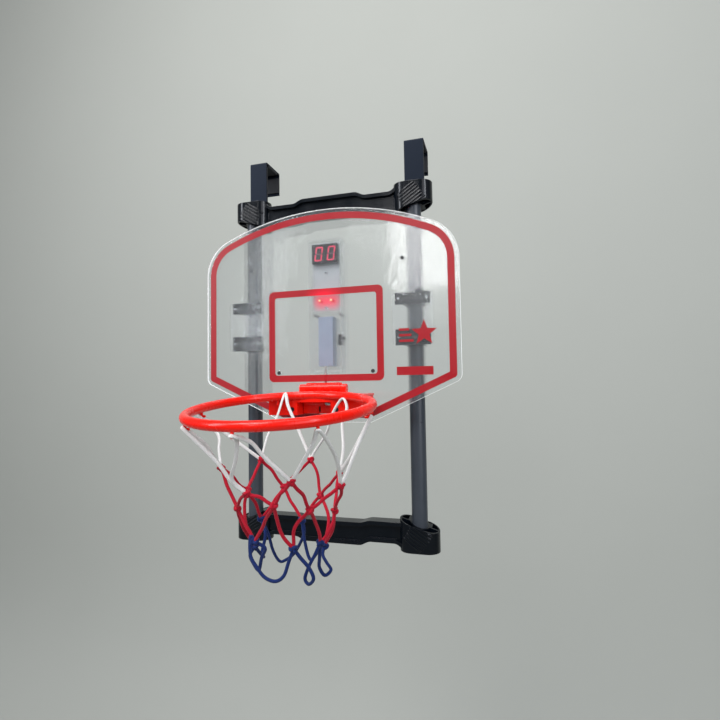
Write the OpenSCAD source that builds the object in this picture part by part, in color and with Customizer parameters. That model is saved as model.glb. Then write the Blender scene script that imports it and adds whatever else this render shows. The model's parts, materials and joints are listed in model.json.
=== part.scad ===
// Over-door basketball hoop with an electronic scorer.
// X runs along the door, +Y goes into the door and +Z is up.
// The origin is midway between the hooks, where the door's top edge meets its front face.

/* [Hanging frame] */
// Distance between the axes of the two tubes
tube_spacing = 264; // [230:1:330]
// Outer diameter of the tubes
tube_d = 23; // [20:0.1:28]
// Wall of the tubes
tube_wall = 1.2; // [0.8:0.1:2]
// Length of the neck that joins a lower tube to an upper tube
neck_len = 24; // [15:1:40]
// Drop from the door's top edge to the top of the upper sleeves
hook_drop = 72; // [50:1:100]
// Drop from the door's top edge to the bottom of the lower sleeves
frame_drop = 611; // [560:1:760]
// Drop from the door's top edge to the joint between upper and lower tubes
joint_drop = 181; // [140:1:195]

/* [Hooks] */
// Thickest door that the hooks take, without their pads
door_t = 40; // [30:1:55]
// Width of the hook strip
strip_w = 30; // [20:1:34]
// Thickness of the hook strip
strip_t = 2.5; // [1.5:0.1:4]
// Length of the hook's rear leg below the door's top edge
rear_leg = 34; // [25:1:60]
// Outer radius of the hook's two bends
bend_r = 3; // [3:0.5:8]
// Thickness of the foam pads on the hooks
pad_t = 3; // [1:0.5:4]

/* [Crossbars] */
// Width of a sleeve along the door
sleeve_w = 58; // [50:1:70]
// Height of a sleeve at its back
sleeve_h = 49; // [42:1:60]
// How much shorter a sleeve is at its outer side
sleeve_slant = 17; // [0:1:20]
// How much shorter a sleeve is at its front
sleeve_tilt = 5; // [0:0.5:8]
// Wall of a sleeve
sleeve_wall = 2.5; // [2:0.1:4]
// Room between the tube's socket and the sleeve's front wall
sleeve_room = 2; // [1:0.5:6]
// Height of the bar between the sleeves
bar_h = 30.5; // [24:0.5:42]
// Depth of the bar, front to back
bar_depth = 22; // [16:1:26]
// Step from the sleeve's closed end to the bar's edge
bar_step = 9.5; // [6:0.5:14]
// Rise of the bar's middle stretch
bar_arch = 6; // [2:0.5:9]
// Length of the bar's raised middle stretch
arch_len = 84; // [50:1:120]
// Height of the bar's raised rims
bar_rim = 6; // [4:0.5:9]
// Depth of the recess in the bar's front
bar_recess = 5; // [2:0.5:9]
// Number of grip ribs on the front of a sleeve
rib_count = 8; // [4:1:9]
// How far the grip ribs stand proud
rib_proud = 0.9; // [0.5:0.1:1.5]

/* [Backboard] */
// Width of the board
board_w = 400; // [360:1:520]
// Thickness of the board
board_t = 4; // [3:0.5:6]
// Distance from the door face to the board's front
board_front = 50; // [50:1:60]
// Drop from the door's top edge to the board's lower side corners
board_corner_drop = 365; // [340:1:380]
// Height of the board above its lower side corners
board_rise = 260; // [240:1:270]
// Depth of the board below its lower side corners
board_fall = 60; // [52:1:75]
// Width of the board's straight bottom edge
board_bottom_w = 140; // [120:1:200]
// Radius of the board's long top arc
top_r = 409; // [380:1:700]
// Radius of the board's upper corners
corner_r = 60; // [40:1:80]
// Inset of the printed border from the board's edge
border_inset = 6.5; // [4:0.5:12]
// Width of the printed border and of the target's band
band_w = 10; // [6:0.5:16]
// Width of the target rectangle over its band
target_w = 181; // [150:1:220]
// Height of the target rectangle over its band
target_h = 139; // [110:1:150]
// Thickness of the printed ink
ink_t = 0.2; // [0.1:0.05:0.4]

/* [Tube clips] */
// Width of a clip's flange
clip_w = 51; // [46:1:60]
// Height of a lower clip
clip_low_h = 23; // [16:1:30]
// Height of an upper clip
clip_high_h = 17; // [12:1:24]
// Height of the carrier plate that two clips share
plate_h = 76; // [66:1:90]
// Thickness of the carrier plate
plate_t = 3; // [2:0.5:4]
// Wall of the clip around the tube
clip_wall = 2.7; // [2:0.1:4]
// Gap between a clip and its tube
clip_gap = 0.3; // [0.2:0.05:0.5]

/* [Scorer] */
// Width of the scorer case
case_w = 53; // [50:1:66]
// Height of the scorer case
case_h = 203; // [196:1:210]
// Depth of the scorer case behind the board
case_d = 20; // [18:1:22]
// Wall of the scorer case
case_wall = 1.8; // [1.2:0.1:2.5]
// Width of the display
display_w = 40.4; // [34:0.1:44]
// Height of the display
display_h = 29.4; // [24:0.1:32]
// Height of a display digit
digit_h = 22; // [16:0.5:24]
// Diameter of the status lamps
lamp_d = 5; // [3:0.5:6]
// Diameter of a battery cell
cell_d = 10.4; // [9.5:0.1:10.6]
// Length of a battery cell
cell_len = 44.5; // [40:0.5:48]
// Travel of the power switch
switch_travel = 4; // [2:0.5:5]

/* [Rim] */
// Diameter of the ring, centre line to centre line
ring_d = 216; // [190:1:240]
// Thickness of the ring
ring_t = 11.4; // [9:0.1:14]
// Distance from the board's front to the ring's centre line at the back
ring_reach = 41.5; // [38:0.5:55]
// Droop of the ring below level, in degrees
ring_droop = 6.5; // [0:0.5:9]
// Width of the rim's box along the board
box_w = 150; // [130:1:170]
// Height of the rim's box
box_h = 29; // [26:0.5:33]
// Wall of the rim's box
box_wall = 3; // [2:0.1:4]
// Width of the pocket in the rim's box
pocket_w = 50; // [40:1:56]
// Height of the pocket in the rim's box
pocket_h = 18; // [15:0.5:20]
// Diameter of the rim's hinge pin
rim_pin_d = 3; // [2:0.1:4]
// Width of the hinge block on the board
mount_w = 54; // [44:1:60]
// Diameter of the paddle's pin
paddle_pin_d = 2; // [1.5:0.1:2.5]
// Running clearance of the pins, on the radius
pin_fit = 0.05; // [0.03:0.01:0.1]

/* [Net] */
// Angle from the ring's back to each of its two rear net hooks, in degrees
rear_hooks = 28; // [22:1:36]
// Diameter of the net's white braid
white_d = 4.4; // [3:0.1:6]
// Diameter of the net's red and blue cord
cord_d = 3.8; // [2.5:0.1:5]
// Diameter of a knot
knot_d = 8; // [6:0.5:10]
// Length of the net below the ring's hooks
net_len = 174; // [150:1:190]

/* [Hidden] */
$fn = 48;
seat = 0.2;
slip = 0.05;
overlap = 0.5;

// Frame
tube_x = tube_spacing / 2;
tube_r = tube_d / 2;
back_wall = 2;
strip_gap = 1.8;
strip_back = back_wall;
strip_front = strip_back + strip_t;
tube_y = strip_front + strip_gap + tube_r;
socket_wall = 2;
socket_r = tube_r + slip + socket_wall;
sleeve_d = tube_y + socket_r + sleeve_room + sleeve_wall;
sleeve_floor = 2.5;
upper_z = -hook_drop - sleeve_h / 2;
lower_z = -frame_drop + sleeve_h / 2;
bar_shift = bar_step + bar_h / 2 - sleeve_h / 2;
bar_back = 6;
flare = 7;
flare_len = 12;
bar_front = bar_back + bar_depth;
arch_ramp = 18;
screw_r = 2;
screw_head_r = 4;
screw_head_t = 1.6;
screw_high = sleeve_h / 2 - 9;
screw_steps = [screw_high - 14, screw_high];
tube_top = -hook_drop - sleeve_floor - seat;
tube_bottom = -frame_drop + sleeve_floor + seat;

// Board
front_y = -board_front;
back_y = front_y + board_t;
corner_z = -board_corner_drop;
arc_z = corner_z + board_rise - top_r;
edge_slope = board_fall / ((board_w - board_bottom_w) / 2);
edge_scale = sqrt(1 + edge_slope * edge_slope);
corner_soft = 12;
round_x = board_w / 2 - corner_r;
round_z = arc_z + sqrt(pow(top_r - corner_r, 2) - round_x * round_x);
target_r = 8;
emblem_x = 143;
emblem_z = corner_z + 56;
rivet_r = 1.6;
rivet_head_r = 2.8;
rivets = [[120, corner_z + 175], [74, corner_z + 14]];

// Clips
plate_w = clip_w + 8;
plate_z = corner_z + 50;
clip_low_z = plate_z + clip_low_h / 2;
clip_high_z = plate_z + plate_h - clip_high_h / 2;
clip_y = back_y + plate_t;
flange_t = 3;
clip_screw_x = clip_w / 2 - 5;
clip_screw_r = 1.5;

// Scorer
case_x = case_w / 2;
case_low = corner_z + 12;
case_top = case_low + case_h;
case_back = back_y + case_d;
cover_t = 1.8;
board_pcb_t = 1.6;
pcb_x = case_x - case_wall - 3;
pcb_front = back_y + 8;
pcb_low = corner_z + 107;
pcb_top = case_top - case_wall - 2;
display_z = corner_z + 193;
lamp_x = 9.2;
lamp_z = corner_z + 122;
tray_wall = 0.8;
tray_x = cell_d + tray_wall + slip * 2;
tray_low = corner_z + 23;
tray_top = corner_z + 97;
tray_front = back_y + 2;
tray_d = cell_d + tray_wall + 1.6;
cell_low = tray_low + tray_wall + 4;
cell_y = tray_front + tray_wall + cell_d / 2 + slip;
door_low = corner_z + 18;
door_top = corner_z + 106;
door_x = case_x - case_wall;
door_screw_x = 20.4;
door_screw_z = corner_z + 101;
knob_z = corner_z + 64;
knob_len = 4;
knob_y = back_y + 9;

// Rim
ring_r = ring_d / 2;
ring_back_y = front_y - ring_reach;
ring_y = ring_back_y - ring_r;
ring_z = corner_z - 19.4;
hinge_y = front_y - 6.5;
hinge_z = corner_z - 9.5;
box_top = hinge_z - 8.5;
box_low = box_top - box_h;
box_gap = 0.4;
box_back = front_y - box_gap;
box_front = ring_back_y - ring_t / 2 + 2;
mount_r = 6;
knuckle_r = 5.5;
knuckle_w = 9;
back_plate_t = 3;
box_screw_x = pocket_w / 2 + 8;
box_screw_z = box_low + 8;
pocket_floor = front_y - 21;
paddle_z = box_low + pocket_h - 2.4;
paddle_t = 2;
paddle_knuckle_r = 2;
switch_x = 8;
switch_z = box_low + 7;
switch_y = front_y - 12;

// Net
hook_dz = ring_t / 2 + 6;
ring_turns = [180, 225, 270, 315, 360, 450 - rear_hooks, 450 + rear_hooks];
net_top = ring_z - ring_r * sin(ring_droop) - hook_dz;

// Height of the ring's centre line at an angle round the ring
function ring_height(a) = ring_z - ring_r * (1 - sin(a)) * sin(ring_droop);
// A place in the net: angle, radius and height
function place(a, r, z) = [r * cos(a), ring_y + r * sin(a), z];
// Angle of hook i round the ring, and the angle midway to the next hook
function turn(i) = ring_turns[i % 7] + 360 * floor(i / 7);
function mid_turn(i) = (turn(i) + turn(i + 1)) / 2;
function knot_a(i) = place(mid_turn(i), ring_r * 0.68, net_top - net_len * 0.37);
function knot_b(i) = place(turn(i), ring_r * 0.55, net_top - net_len * 0.555);
function knot_c(i) = place(mid_turn(i), ring_r * 0.41, net_top - net_len * 0.76);
function loop_low(i, s) =
    place(mid_turn(i) + s * (mid_turn(i + 1) - mid_turn(i)), ring_r * 0.38, net_top - net_len + cord_d / 2);
// Blend from 1 in the middle stretch to 0 beyond the ramp
function arch(x) =
    abs(x) < arch_len / 2 ? 1 :
    abs(x) > arch_len / 2 + arch_ramp ? 0 :
    0.5 + 0.5 * cos(180 * (abs(x) - arch_len / 2) / arch_ramp);

// Lays a drawing of X and Z upright, with its front at y and its thickness behind it
module upright(y, t) {
    translate([0, y + t, 0]) rotate([90, 0, 0]) linear_extrude(t) children();
}

module block(x0, x1, y0, y1, z0, z1) {
    translate([x0, y0, z0]) cube([x1 - x0, y1 - y0, z1 - z0]);
}

module both_sides() {
    children();
    mirror([1, 0, 0]) children();
}

// A rod along Y from y0 to y1
module rod_y(x, z, r, y0, y1) {
    translate([x, y1, z]) rotate([90, 0, 0]) cylinder(h = y1 - y0, r = r);
}

// A rod along X, centred on x
module rod_x(x, y, z, r, len) {
    translate([x - len / 2, y, z]) rotate([0, 90, 0]) cylinder(h = len, r = r);
}

module rounded_square(w, h, r) {
    square([w - 2 * r, h], center = true);
    square([w, h - 2 * r], center = true);
    for (sx = [-1, 1]) for (sz = [-1, 1]) translate([sx * (w / 2 - r), sz * (h / 2 - r)]) circle(r);
}

// Hooks --------------------------------------------------------------------------------------

// The hook's outline in Y and Z, grown inwards by inset
module hook_outline(inset) {
    r = bend_r - inset;
    y0 = -strip_front + inset;
    y1 = door_t + pad_t + strip_t - inset;
    z1 = pad_t + strip_t - inset;
    z0 = -hook_drop - sleeve_h;
    translate([y0, z0]) square([y1 - y0, z1 - r - z0]);
    translate([y0 + r, z0]) square([y1 - y0 - 2 * r, z1 - z0]);
    translate([y0 + r, z1 - r]) circle(r);
    translate([y1 - r, z1 - r]) circle(r);
}

module hook(side) {
    difference() {
        translate([side * tube_x - strip_w / 2, 0, 0]) rotate([90, 0, 90])
            linear_extrude(strip_w) difference() {
                hook_outline(0);
                hook_outline(strip_t);
                translate([0, -hook_drop - sleeve_h - 1]) square([door_t * 2, hook_drop + sleeve_h + 1 - rear_leg]);
                translate([-bend_r * 2, -hook_drop - sleeve_h - 1]) square([bend_r * 4, sleeve_slant + 2]);
            }
        for (dz = screw_steps)
            rod_y(side * tube_x, upper_z + dz, screw_r + slip, -strip_front - 1, 0);
    }
}

module hook_left() { color("#1d2024") hook(-1); }
module hook_right() { color("#1d2024") hook(1); }

module hook_pads() {
    edge = 4;
    color("#2b2c2e") both_sides() {
        x0 = tube_x - strip_w / 2;
        x1 = tube_x + strip_w / 2;
        block(x0, x1, edge, door_t - edge, 0, pad_t);
        block(x0, x1, door_t, door_t + pad_t, -rear_leg + edge, -edge);
        block(x0, x1, -strip_back, 0, -hook_drop + seat, -edge);
    }
}

// Screw with its head towards the door, head face at y, shank towards the tube
module frame_screw(x, z, y) {
    rod_y(x, z, screw_head_r, y, y + screw_head_t);
    rod_y(x, z, screw_r, -tube_y + tube_r - tube_wall - 2, y + overlap);
}

module hook_screws() {
    color("#3a3d42") both_sides() for (dz = screw_steps) frame_screw(tube_x, upper_z + dz, -strip_back);
}

module tube_screws() {
    color("#3a3d42") both_sides() for (dz = screw_steps) frame_screw(tube_x, lower_z - dz, -strip_front);
}

// Crossbars ----------------------------------------------------------------------------------

// Plan of a sleeve, grown by grow, between the door and its front
module sleeve_plan(grow) {
    r = sleeve_d / 2 + grow;
    w = sleeve_w + 2 * grow - 2 * r;
    translate([0, -sleeve_d / 2]) {
        square([w, 2 * r], center = true);
        for (s = [-1, 1]) translate([s * w / 2, 0]) circle(r);
    }
}

module sleeve_ribs() {
    pitch = 4.5;
    lean = -34;
    intersection() {
        translate([0, 0, -sleeve_h / 2 + 3]) linear_extrude(sleeve_h - 6) difference() {
            sleeve_plan(rib_proud);
            sleeve_plan(-overlap);
        }
        translate([0, -sleeve_d, 0]) rotate([0, lean, 0])
            for (i = [0 : rib_count - 1])
                translate([0, 0, (i - (rib_count - 1) / 2) * pitch])
                    cube([sleeve_w * 0.56, sleeve_d, pitch * 0.45], center = true);
    }
}

// One right-hand sleeve with its floor at the top, its centre at the origin in X and Z
module sleeve() {
    top = sleeve_h / 2;
    difference() {
        union() {
            translate([0, 0, -top]) linear_extrude(sleeve_h) sleeve_plan(0);
            sleeve_ribs();
        }
        difference() {
            translate([0, 0, -top - 1]) linear_extrude(sleeve_h + 1 - sleeve_floor) difference() {
                sleeve_plan(-sleeve_wall);
                translate([-sleeve_w / 2, -back_wall]) square([sleeve_w, back_wall + 1]);
            }
            translate([0, -tube_y, -top]) cylinder(h = sleeve_h, r = socket_r);
            block(-sleeve_w / 2, sleeve_w / 2, -tube_y - 1.25, -tube_y + 1.25, -top, top);
            block(-strip_w / 2 - 2, strip_w / 2 + 2, -tube_y, 0, -top, top);
        }
        translate([0, -tube_y, -top - 1]) cylinder(h = sleeve_h + 1 - sleeve_floor, r = tube_r + slip);
        block(-strip_w / 2 - slip, strip_w / 2 + slip, -strip_front - slip, -strip_back + slip, -top - 1, top + 1);
        for (dz = screw_steps) {
            rod_y(0, dz, screw_r + slip, -tube_y, 1);
            rod_y(0, dz, screw_head_r + seat, -strip_front, 1);
        }
        translate([0, 0, -top]) rotate([-atan(sleeve_tilt / sleeve_d), 0, 0])
            upright(-sleeve_d * 2, sleeve_d * 3) polygon([
                [-sleeve_w, -sleeve_slant / 2], [sleeve_w, sleeve_slant * 1.5],
                [sleeve_w, -sleeve_h], [-sleeve_w, -sleeve_h]
            ]);
    }
}

// Outline of the bar in X and Z, arched upwards and flared towards the sleeves' closed ends
module bar_outline(trim) {
    reach = tube_x - sleeve_w / 2 + 4;
    steps = 36;
    xs = [for (i = [-steps : steps]) i * reach / steps];
    polygon(concat(
        [for (x = xs) [x, bar_h / 2 - trim + bar_arch * arch(x) + flare * pow(max(0, abs(x) - reach + flare_len) / flare_len, 2)]],
        [for (i = [len(xs) - 1 : -1 : 0]) [xs[i], -bar_h / 2 + trim + bar_arch * arch(xs[i]) * 0.6]]
    ));
}

// A crossbar with its sleeves' floors at the top
module crossbar() {
    difference() {
        translate([0, 0, -bar_shift]) difference() {
            upright(-bar_front, bar_depth) bar_outline(0);
            upright(-bar_front - 1, bar_recess + 1) bar_outline(bar_rim);
            upright(-bar_back - bar_depth + bar_recess + 3, bar_depth) bar_outline(bar_rim / 2);
        }
        for (s = [-1, 1]) translate([s * tube_x, 0, -sleeve_h]) linear_extrude(sleeve_h * 2) sleeve_plan(-overlap);
    }
    both_sides() translate([tube_x, 0, 0]) sleeve();
}

module upper_crossbar() { color("#17191b") translate([0, 0, upper_z]) crossbar(); }
module lower_crossbar() { color("#17191b") translate([0, 0, lower_z]) mirror([0, 0, 1]) crossbar(); }

// Tubes --------------------------------------------------------------------------------------

module tube_holes(x, z, way) {
    for (dz = screw_steps) rod_y(x, z + way * dz, screw_r + slip, -tube_y, 0);
}

module tube_upper(side) {
    difference() {
        translate([side * tube_x, -tube_y, -joint_drop]) difference() {
            cylinder(h = tube_top + joint_drop, r = tube_r);
            translate([0, 0, -1]) cylinder(h = tube_top + joint_drop + 2, r = tube_r - tube_wall);
        }
        tube_holes(side * tube_x, upper_z, 1);
    }
}

module tube_lower(side) {
    neck_r = tube_r - tube_wall - slip;
    difference() {
        translate([side * tube_x, -tube_y, 0]) difference() {
            union() {
                translate([0, 0, tube_bottom]) cylinder(h = -joint_drop - seat - tube_bottom, r = tube_r);
                translate([0, 0, -joint_drop - 2]) cylinder(h = neck_len + 2, r = neck_r);
            }
            translate([0, 0, tube_bottom - 1]) cylinder(h = -joint_drop - 4 - tube_bottom, r = tube_r - tube_wall);
            translate([0, 0, tube_bottom]) cylinder(h = -joint_drop + neck_len + 1 - tube_bottom, r = neck_r - tube_wall);
        }
        tube_holes(side * tube_x, lower_z, -1);
    }
}

module tube_upper_left() { color("#4b5059") tube_upper(-1); }
module tube_upper_right() { color("#4b5059") tube_upper(1); }
module tube_lower_left() { color("#4b5059") tube_lower(-1); }
module tube_lower_right() { color("#4b5059") tube_lower(1); }

// Backboard ----------------------------------------------------------------------------------

// Points along an arc round centre c
function arc_points(c, r, a0, a1, n) =
    [for (i = [0 : n]) let (a = a0 + (a1 - a0) * i / n) c + r * [cos(a), sin(a)]];

// Right half of the board's outline, shrunk by inset, from the bottom edge up to the top arc
function half_outline(inset) =
    let (
        half = board_w / 2 - inset,
        soft = max(corner_soft - inset, 1),
        low = corner_z - board_fall + inset,
        centre = [half - soft, corner_z - edge_slope * (inset + soft) + (inset + soft) * edge_scale],
        low_x = board_w / 2 + (low - corner_z - inset * edge_scale) / edge_slope,
        meet = atan2(round_z - arc_z, round_x)
    )
    concat(
        [[low_x, low]],
        arc_points(centre, soft, -atan2(1, edge_slope), 0, 8),
        arc_points([round_x, round_z], corner_r - inset, 0, meet - 1, 14),
        arc_points([0, arc_z], top_r - inset, meet, 89.2, 24)
    );

// Outline of the board in X and Z, shrunk by inset
module board_outline(inset) {
    right = half_outline(inset);
    polygon(concat(right, [for (i = [len(right) - 1 : -1 : 0]) [-right[i][0], right[i][1]]]));
}

module backboard() {
    color("#dfe9ee", 0.3) difference() {
        upright(front_y, board_t) board_outline(0);
        for (p = rivets) both_sides() rod_y(p[0], p[1], rivet_r + slip, front_y - 1, back_y + 1);
        both_sides() rod_y(mount_w / 2 - 8, hinge_z + 5, screw_r + slip, front_y - 1, back_y + 1);
        block(-3, 3, front_y - 1, back_y + 1, switch_z - 3, switch_z + 3);
    }
}

module border_print() {
    color("#d2202e") difference() {
        upright(front_y - ink_t, ink_t) difference() {
            board_outline(border_inset);
            board_outline(border_inset + band_w);
        }
        block(-switch_x - 1, switch_x + 1, front_y - 1, back_y, box_low - 1, box_top);
    }
}

module target_print() {
    color("#d2202e") upright(front_y - ink_t, ink_t) translate([0, corner_z + target_h / 2]) difference() {
        rounded_square(target_w, target_h, target_r);
        rounded_square(target_w - 2 * band_w, target_h - 2 * band_w, target_r / 2);
    }
}

// A star over three stripes and a plain bar
module emblem_print() {
    star_r = 19;
    color("#d2202e") upright(front_y - ink_t, ink_t) translate([emblem_x, emblem_z]) {
        polygon([for (i = [0 : 9])
            let (r = i % 2 == 0 ? star_r : star_r * 0.42) [6 + r * sin(i * 36), 10 + r * cos(i * 36)]]);
        for (i = [0 : 2]) translate([-30, 14 - i * 8]) square([15 + i * 3, 3.5]);
        translate([-34, -49]) square([52, 12]);
    }
}

module board_rivets() {
    color("#202225") both_sides() for (p = rivets) {
        rod_y(p[0], p[1], rivet_head_r, front_y - 1, front_y);
        rod_y(p[0], p[1], rivet_r, front_y - overlap, back_y + 0.8);
    }
}

// Carrier plates and clips -------------------------------------------------------------------

module carrier_plate(side) {
    color("#e6eef2", 0.35) difference() {
        upright(back_y, plate_t) translate([side * tube_x, plate_z + plate_h / 2])
            rounded_square(plate_w, plate_h, 5);
        clip_screw_holes(side);
    }
}

module clip_screw_holes(side) {
    for (z = [clip_low_z, clip_high_z]) for (s = [-1, 1])
        rod_y(side * tube_x + s * clip_screw_x, z, clip_screw_r + slip, back_y + 0.6, clip_y + flange_t + 1);
}

module clip(side, z, h) {
    bore_r = tube_r + clip_gap;
    outer_r = bore_r + clip_wall;
    mouth_w = tube_r * 1.5;
    color("#1b1d1f") difference() {
        translate([side * tube_x, 0, z - h / 2]) difference() {
            union() {
                linear_extrude(h) {
                    translate([-clip_w / 2, clip_y]) square([clip_w, flange_t]);
                    translate([-outer_r, clip_y]) square([2 * outer_r, -tube_y - clip_y]);
                    translate([0, -tube_y]) circle(outer_r);
                }
            }
            translate([0, -tube_y, -1]) cylinder(h = h + 2, r = bore_r, $fn = 72);
            block(-mouth_w / 2, mouth_w / 2, -tube_y, 0, -1, h + 1);
            block(-clip_w, clip_w, clip_y - 1, clip_y + 0.8, h / 2 - 0.6, h / 2 + 0.6);
        }
        clip_screw_holes(side);
    }
}

module plate_left() { carrier_plate(-1); }
module plate_right() { carrier_plate(1); }
module clip_lower_left() { clip(-1, clip_low_z, clip_low_h); }
module clip_lower_right() { clip(1, clip_low_z, clip_low_h); }
module clip_upper_left() { clip(-1, clip_high_z, clip_high_h); }
module clip_upper_right() { clip(1, clip_high_z, clip_high_h); }

module clip_screws() {
    color("#8f9499") both_sides() for (z = [clip_low_z, clip_high_z]) for (s = [-1, 1]) {
        x = tube_x + s * clip_screw_x;
        rod_y(x, z, clip_screw_r * 2, clip_y + flange_t, clip_y + flange_t + 1.8);
        rod_y(x, z, clip_screw_r, back_y + 0.8, clip_y + flange_t + overlap);
    }
}

// Scorer -------------------------------------------------------------------------------------

module scorer_case() {
    color("#e6eef2", 0.35) difference() {
        block(-case_x, case_x, back_y, case_back - cover_t, case_low, case_top);
        block(-case_x + case_wall, case_x - case_wall, back_y - 1, case_back,
              case_low + case_wall, case_top - case_wall);
        block(case_x - case_wall - 1, case_x + 1, knob_y - 1.6, knob_y + 1.6,
              knob_z - knob_len / 2 - switch_travel - 0.4, knob_z + knob_len / 2 + 0.4);
        block(-2.2, 2.2, back_y - 1, back_y + 1.2, case_low - 1, case_low + case_wall + 1);
    }
}

// Rear cover, with the opening for the battery tray and two posts for the circuit board
module scorer_cover() {
    color("#e6eef2", 0.35) difference() {
        union() {
            block(-case_x, case_x, case_back - cover_t, case_back, case_low, case_top);
            for (z = post_heights()) rod_y(0, z, 3, pcb_front + board_pcb_t, case_back - overlap);
            both_sides() rod_y(door_screw_x, door_screw_z, 2.8, case_back - 9, case_back - overlap);
        }
        block(-tray_x - slip, tray_x + slip, case_back - cover_t - 1, case_back + 1,
              tray_low - slip, tray_top + slip);
        for (z = post_heights()) rod_y(0, z, 1.25, pcb_front, pcb_front + board_pcb_t + 5);
        both_sides() rod_y(door_screw_x, door_screw_z, 1.5 + slip, case_back - 7, case_back + 1);
    }
}

function post_heights() = [pcb_low + 4, pcb_top - 46];

module battery_door() {
    color("#e6eef2", 0.35) difference() {
        upright(case_back, 1.8) translate([0, (door_low + door_top) / 2])
            rounded_square(2 * door_x, door_top - door_low, 3);
        both_sides() rod_y(door_screw_x, door_screw_z, 1.5 + slip, case_back - 1, case_back + 3);
    }
}

module battery_door_screws() {
    color("#4a4d52") both_sides() {
        rod_y(door_screw_x, door_screw_z, 2.6, case_back + 1.8, case_back + 3.2);
        rod_y(door_screw_x, door_screw_z, 1.5, case_back - 6.5, case_back + 2);
    }
}

module battery_tray() {
    color("#8b97a8") difference() {
        block(-tray_x, tray_x, tray_front, case_back, tray_low, tray_top);
        block(-tray_x + tray_wall, tray_x - tray_wall, tray_front + tray_wall, case_back + 1,
              tray_low + tray_wall, cell_low + cell_len + 4);
        block(-tray_x + tray_wall, tray_x - tray_wall, tray_front + tray_wall, case_back + 1,
              cell_low + cell_len + 4.8, tray_top - tray_wall);
    }
}

module battery_cells() {
    color("#4f8f5a") both_sides() {
        x = cell_d / 2 + slip;
        translate([x, cell_y, cell_low]) cylinder(h = cell_len - 1, r = cell_d / 2);
        translate([x, cell_y, cell_low + cell_len - 1 - overlap]) cylinder(h = 1 + overlap, r = 1.9);
    }
}

// A coiled contact under each cell and a plate over it
module battery_contacts() {
    color("#c9ccd0") both_sides() {
        x = cell_d / 2 + slip;
        translate([x, cell_y, tray_low + tray_wall + seat]) cylinder(h = 0.5, r = 4);
        translate([x, cell_y, tray_low + tray_wall + seat]) cylinder(h = 3.6, r1 = 3.6, r2 = 2.2);
        translate([x - 4, cell_y - 4, cell_low + cell_len + seat]) cube([8, 8, 0.5]);
        translate([x, cell_y, cell_low + cell_len + seat]) cylinder(h = 3.6, r = 1.5);
    }
}

module buzzer() {
    z = (cell_low + cell_len + 4.8 + tray_top - tray_wall) / 2;
    color("#1e1f21") difference() {
        rod_y(0, z, 6.2, tray_front + tray_wall + seat, case_back - 3);
        rod_y(0, z, 1, case_back - 5, case_back);
    }
}

module circuit_board() {
    color("#dfe3e2") difference() {
        block(-pcb_x, pcb_x, pcb_front, pcb_front + board_pcb_t, pcb_low, pcb_top);
        for (z = post_heights()) rod_y(0, z, 1.25 + slip, pcb_front - 1, pcb_front + board_pcb_t + 1);
    }
}

module circuit_board_screws() {
    color("#b9bcc0") for (z = post_heights()) {
        rod_y(0, z, 2.4, pcb_front - 1.4, pcb_front);
        rod_y(0, z, 1.2, pcb_front - overlap, pcb_front + board_pcb_t + 4);
    }
}

module display_case() {
    face = back_y + 0.8;
    color("#2b2226") block(-display_w / 2, display_w / 2, face, pcb_front,
                           display_z - display_h / 2, display_z + display_h / 2);
}

// Seven bars of one digit, leaning like those of a lamp display
module digit(x) {
    w = digit_h * 0.5;
    t = digit_h * 0.13;
    lean = 0.14;
    half = digit_h / 2;
    multmatrix([[1, lean, 0, x], [0, 1, 0, display_z], [0, 0, 1, 0]]) {
        for (s = [-1, 1]) translate([0, s * (half - t / 2)]) square([w - t * 1.2, t], center = true);
        square([w - t * 1.6, t * 0.8], center = true);
        for (sx = [-1, 1]) for (sz = [-1, 1])
            translate([sx * (w / 2 - t / 2), sz * half / 2]) square([t, half - t * 0.7], center = true);
        translate([w / 2 + t * 0.9, -half + t / 2]) circle(t / 2);
    }
}

module display_digits() {
    face = back_y + 0.8;
    color("#ff4a6a") upright(face - 0.3, 0.3) {
        digit(-display_w * 0.235);
        digit(display_w * 0.225);
    }
}

module status_lamps() {
    r = lamp_d / 2;
    color("#ff3a30") both_sides() {
        rod_y(lamp_x, lamp_z, r, pcb_front - 5, pcb_front);
        translate([lamp_x, pcb_front - 5, lamp_z]) rotate([90, 0, 0]) rotate_extrude($fn = 32)
            intersection() { circle(r - 0.05); square([r, r]); }
    }
}

module power_switch_body() {
    x1 = case_x - case_wall - 0.2;
    z = knob_z - switch_travel / 2;
    color("#26282b") difference() {
        block(x1 - 6, x1, knob_y - 3, knob_y + 3, z - 8, z + 8);
        block(x1 - 4, x1 + 1, knob_y - 1.7, knob_y + 1.7,
              knob_z - knob_len / 2 - switch_travel - 0.4, knob_z + knob_len / 2 + 0.4);
    }
}

module power_switch_knob() {
    x1 = case_x - case_wall - 0.2;
    color("#3b3e42") block(x1 - 3.7, case_x + 2.2, knob_y - 1.3, knob_y + 1.3,
                           knob_z - knob_len / 2, knob_z + knob_len / 2);
}

// Sensor -------------------------------------------------------------------------------------

module sensor_switch() {
    color("#1f2123") {
        block(-switch_x, switch_x, switch_y, front_y, switch_z - 5, switch_z + 5);
        block(-2, 2, front_y - overlap, back_y, switch_z - 2, switch_z + 2);
        rod_y(0, switch_z, 1.6, switch_y - 3, switch_y + overlap);
    }
}

module sensor_lead() {
    color("#d8d8d4") block(-1.8, 1.8, back_y, back_y + 1, switch_z - 2.6, tray_low);
}

// Rim ----------------------------------------------------------------------------------------

// Plan of the rim's box and the web that joins it to the ring
module box_plan(inset) {
    half = box_w / 2 - inset;
    waist = box_w / 2 - 6 - inset;
    polygon([[-half, box_back - inset], [half, box_back - inset], [waist, box_front + inset],
             [-waist, box_front + inset]]);
}

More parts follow.
